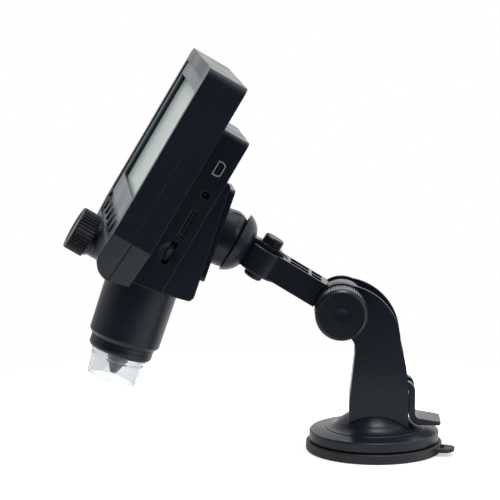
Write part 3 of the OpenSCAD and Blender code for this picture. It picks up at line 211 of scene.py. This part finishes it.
def plastic(name, colour, rub_and_edge_highlight, rough, spread, grain, depth, rub, dust, shine, edge=0.0005, edge_wear_and_highlight=0.3):
    """Moulded plastic or rubber, or a board or film with the same kind of skin."""
    mat, nodes, links, shader = start_material(name)
    # Broken edges are mixed paler, partly from handling and partly as a painted edge highlight.
    skin = place_group(nodes, moulded_skin, Colour=linear(*colour), Rubbed_Colour=linear(*rub_and_edge_highlight), Roughness=rough,
                       Roughness_Spread=spread, Grain_Scale=grain, Rub_Amount=rub, Edge_Radius=edge,
                       Edge_Wear=edge_wear_and_highlight)
    top = place_group(nodes, settled_dust, Amount=dust)
    links.new(skin.outputs["Colour"], top.inputs["Colour"])
    links.new(top.outputs["Colour"], shader.inputs["Base Color"])
    links.new(skin.outputs["Roughness"], shader.inputs["Roughness"])
    lift(nodes, links, skin, shader, depth)
    shader.inputs["Specular IOR Level"].default_value = shine
    return mat


def metal(name, colour, tarnish, rough, bare=1.0):
    """Worked metal; bare is how much of the face is clean metal, and the rest is a dull film."""
    scratch_depth, scratch_strength = 0.00001, 0.3
    mat, nodes, links, shader = start_material(name)
    face = place_group(nodes, worked_metal, Colour=linear(*colour), Tarnish=linear(*tarnish), Roughness=rough)
    links.new(face.outputs["Colour"], shader.inputs["Base Color"])
    links.new(face.outputs["Roughness"], shader.inputs["Roughness"])
    shader.inputs["Metallic"].default_value = bare
    lift(nodes, links, face, shader, scratch_depth, scratch_strength)
    return mat


def clear(name, colour, rough, ior, weight=1.0, scuff=0.05):
    """See-through plastic or glass: an even colour, patches of scuffed shine and softened edges."""
    ripple_scale, ripple_depth, ripple_strength, edge_radius = 600.0, 0.000005, 0.15, 0.0002
    mat, nodes, links, shader = start_material(name)
    skin = place_group(nodes, moulded_skin, Colour=linear(*colour), Rubbed_Colour=linear(*colour), Roughness=rough,
                       Roughness_Spread=scuff, Grain_Scale=ripple_scale, Rub_Amount=0.0, Edge_Radius=edge_radius,
                       Edge_Wear=0.0)
    links.new(skin.outputs["Colour"], shader.inputs["Base Color"])
    links.new(skin.outputs["Roughness"], shader.inputs["Roughness"])
    shader.inputs["IOR"].default_value = ior
    shader.inputs["Transmission Weight"].default_value = weight
    lift(nodes, links, skin, shader, ripple_depth, ripple_strength)
    return mat


# Each row: colour, colour of rub marks and pale edges, roughness and its spread, grain per metre, grain depth in
# metres, share of rub marks, dust and shine, and on the stand, the head and the knobs the radius of the broken
# edges in metres and how pale they go, partly from handling and partly as a painted edge highlight.
MOULDED = {
    "black_rubber": ((20, 21, 24), (40, 41, 43), 0.5, 0.08, 1800.0, 0.00003, 0.25, 0.05, 0.4),
    "stand_plastic": ((17, 24, 33), (36, 44, 55), 0.32, 0.05, 2600.0, 0.00001, 0.1, 0.01, 0.3, 0.0007, 0.6),
    "head_plastic": ((21, 28, 38), (42, 50, 62), 0.34, 0.05, 3200.0, 0.000015, 0.1, 0.01, 0.32, 0.0008, 0.4),
    "knob_plastic": ((17, 22, 28), (34, 40, 47), 0.34, 0.06, 2600.0, 0.00002, 0.18, 0.02, 0.38, 0.0003, 0.5),
    # The panel's mid grey is partly a painted reflection: it stands in for the white background mirrored in the glossy
    # panel at a low angle.
    "panel_grey": ((92, 102, 107), (106, 116, 121), 0.38, 0.05, 3000.0, 0.00001, 0.15, 0.02, 0.4),
    # The screen's light grey-green is partly a painted reflection of the white background seen at a low angle.
    "screen": ((168, 180, 175), (172, 184, 179), 0.22, 0.02, 500.0, 0.000002, 0.05, 0.01, 0.3),
    "key_rubber": ((35, 40, 43), (60, 64, 66), 0.5, 0.06, 1600.0, 0.00003, 0.25, 0.03, 0.4),
    "nylon": ((226, 224, 214), (210, 206, 194), 0.42, 0.05, 1200.0, 0.00002, 0.2, 0.01, 0.5),
    "circuit_board": ((26, 92, 60), (46, 120, 78), 0.35, 0.06, 420.0, 0.00003, 0.5, 0.02, 0.5),
    "white_board": ((226, 227, 220), (205, 205, 196), 0.4, 0.06, 420.0, 0.00002, 0.3, 0.01, 0.5),
    "chip_black": ((28, 29, 31), (50, 51, 53), 0.55, 0.05, 1400.0, 0.00002, 0.2, 0.02, 0.4),
    "battery_wrap": ((74, 120, 168), (92, 138, 184), 0.28, 0.06, 300.0, 0.00004, 0.2, 0.01, 0.5),
    "ribbon_film": ((176, 112, 42), (196, 134, 60), 0.25, 0.05, 700.0, 0.00001, 0.3, 0.01, 0.5),
    "led_white": ((240, 240, 230), (228, 226, 208), 0.2, 0.04, 900.0, 0.00001, 0.2, 0.0, 0.5),
}

finish = {name: plastic(name, *row) for name, row in MOULDED.items()}
finish.update({
    "steel": metal("steel", (168, 170, 174), (96, 94, 92), 0.3),
    "bright_metal": metal("bright_metal", (206, 207, 209), (170, 168, 164), 0.3, bare=0.4),
    "washer_steel": metal("washer_steel", (180, 182, 184), (120, 118, 114), 0.34),
    "clear_plastic": clear("clear_plastic", (236, 239, 240), 0.06, 1.49, 0.95, 0.03),
    "lens_glass": clear("lens_glass", (232, 240, 246), 0.02, 1.52),
})

for part in frame["record"]["subparts"]:
    solid = frame["nodes"][part["node"]]
    solid.data.materials.clear()
    solid.data.materials.append(finish[part["material_slot"]])


# ---- table, lamps, backdrop and camera ----

def make_table():
    """A round pale table top that keeps the object's shadow and shows as white."""
    radius, place = 0.2, (-0.05, 0.03, -0.0002)
    own_glow = 0.5
    mesh = bpy.data.meshes.new("table")
    disc = bmesh.new()
    bmesh.ops.create_circle(disc, cap_ends=True, segments=96, radius=radius)
    disc.to_mesh(mesh)
    disc.free()
    table = bpy.data.objects.new("table", mesh)
    table.location = place
    bpy.context.scene.collection.objects.link(table)
    mat, nodes, links, shader = start_material("table_white")
    shader.inputs["Base Color"].default_value = (0.93, 0.93, 0.93, 1)
    shader.inputs["Roughness"].default_value = 0.7
    shader.inputs["Specular IOR Level"].default_value = 0.1
    seen = nodes.new("ShaderNodeLightPath").outputs["Is Camera Ray"]
    glow = nodes.new("ShaderNodeEmission")
    glow.inputs["Color"].default_value = WHITE
    links.new(maths(nodes, links, "MULTIPLY", seen, own_glow), glow.inputs["Strength"])
    both = nodes.new("ShaderNodeAddShader")
    links.new(shader.outputs[0], both.inputs[0])
    links.new(glow.outputs[0], both.inputs[1])
    links.new(both.outputs[0], nodes["Material Output"].inputs["Surface"])
    mesh.materials.append(mat)


def choose(nodes, links, switch, off, on):
    """The second shader where the switch is on, and the first elsewhere."""
    pick = nodes.new("ShaderNodeMixShader")
    links.new(switch, pick.inputs["Fac"])
    links.new(off.outputs[0], pick.inputs[1])
    links.new(on.outputs[0], pick.inputs[2])
    return pick


def make_backdrop():
    """White where it is looked at, an even room where it lights, and a white cove where it is mirrored."""
    room_strength = 0.5
    front, back_left, back_right, overhead = 0.05, 0.85, 1.6, 0.5
    world = bpy.data.worlds.new("studio")
    bpy.context.scene.world = world
    world.use_nodes = True
    nodes, links = world.node_tree.nodes, world.node_tree.links
    room = nodes["Background"]
    room.inputs["Color"].default_value = (0.97, 0.985, 1.0, 1)
    room.inputs["Strength"].default_value = room_strength
    white = nodes.new("ShaderNodeBackground")
    white.inputs["Color"].default_value = WHITE
    white.inputs["Strength"].default_value = 1.0
    cove = nodes.new("ShaderNodeBackground")
    split = nodes.new("ShaderNodeSeparateXYZ")
    links.new(nodes.new("ShaderNodeTexCoord").outputs["Generated"], split.inputs[0])
    back = stretch(nodes, links, split.outputs["X"], -0.35, 0.15, back_left, back_right)
    behind = stretch(nodes, links, split.outputs["Y"], -0.75, 0.3, front, back)
    above = stretch(nodes, links, split.outputs["Z"], 0.35, 0.95, 0.0, overhead)
    links.new(maths(nodes, links, "MAXIMUM", behind, above), cove.inputs["Strength"])
    path = nodes.new("ShaderNodeLightPath")
    lit = choose(nodes, links, path.outputs["Is Glossy Ray"], room, cove)
    looked_at = maths(nodes, links, "MAXIMUM", path.outputs["Is Camera Ray"], path.outputs["Is Transmission Ray"])
    final = choose(nodes, links, looked_at, lit, white)
    links.new(final.outputs[0], nodes["World Output"].inputs["Surface"])


def make_lamp(name, place, aim, size, power, mirrored=False):
    """A flat lamp aimed at a point; only a mirrored one shows in shiny faces."""
    lamp = bpy.data.lights.new(name, "AREA")
    lamp.shape = "RECTANGLE"
    lamp.size, lamp.size_y = size
    lamp.energy = power
    obj = bpy.data.objects.new(name, lamp)
    obj.location = place
    obj.rotation_euler = (Vector(aim) - Vector(place)).to_track_quat("-Z", "Y").to_euler()
    obj.visible_glossy = mirrored
    bpy.context.scene.collection.objects.link(obj)


def make_camera():
    """Looks slightly down at the object's middle from in front, through a long lens; all in millimetres."""
    aim, place = Vector((-57.9, 0, 93.7)) * MM, Vector((-22.45, -1084.67, 270.11)) * MM
    focal_length, film_width = 171.25, 36.0
    lens = bpy.data.cameras.new("camera")
    lens.lens, lens.sensor_width = focal_length, film_width
    lens.clip_start, lens.clip_end = 0.05, 50.0
    camera = bpy.data.objects.new("camera", lens)
    camera.location = place
    camera.rotation_euler = (aim - camera.location).to_track_quat("-Z", "Y").to_euler()
    bpy.context.scene.collection.objects.link(camera)
    bpy.context.scene.camera = camera


make_table()
make_backdrop()
make_camera()
head_middle, foot = (-0.05, 0, 0.08), (0.02, 0, 0.02)
make_lamp("top_softbox", (-0.15, -0.15, 0.9), head_middle, (0.9, 0.9), 6.0)
make_lamp("overhead_panel", (0.05, -0.02, 0.85), foot, (0.3, 0.3), 3.0, True)
make_lamp("side_softbox", (0.75, -0.45, 0.45), head_middle, (0.3, 0.5), 1.6, True)
bpy.context.scene.view_settings.view_transform = "Standard"
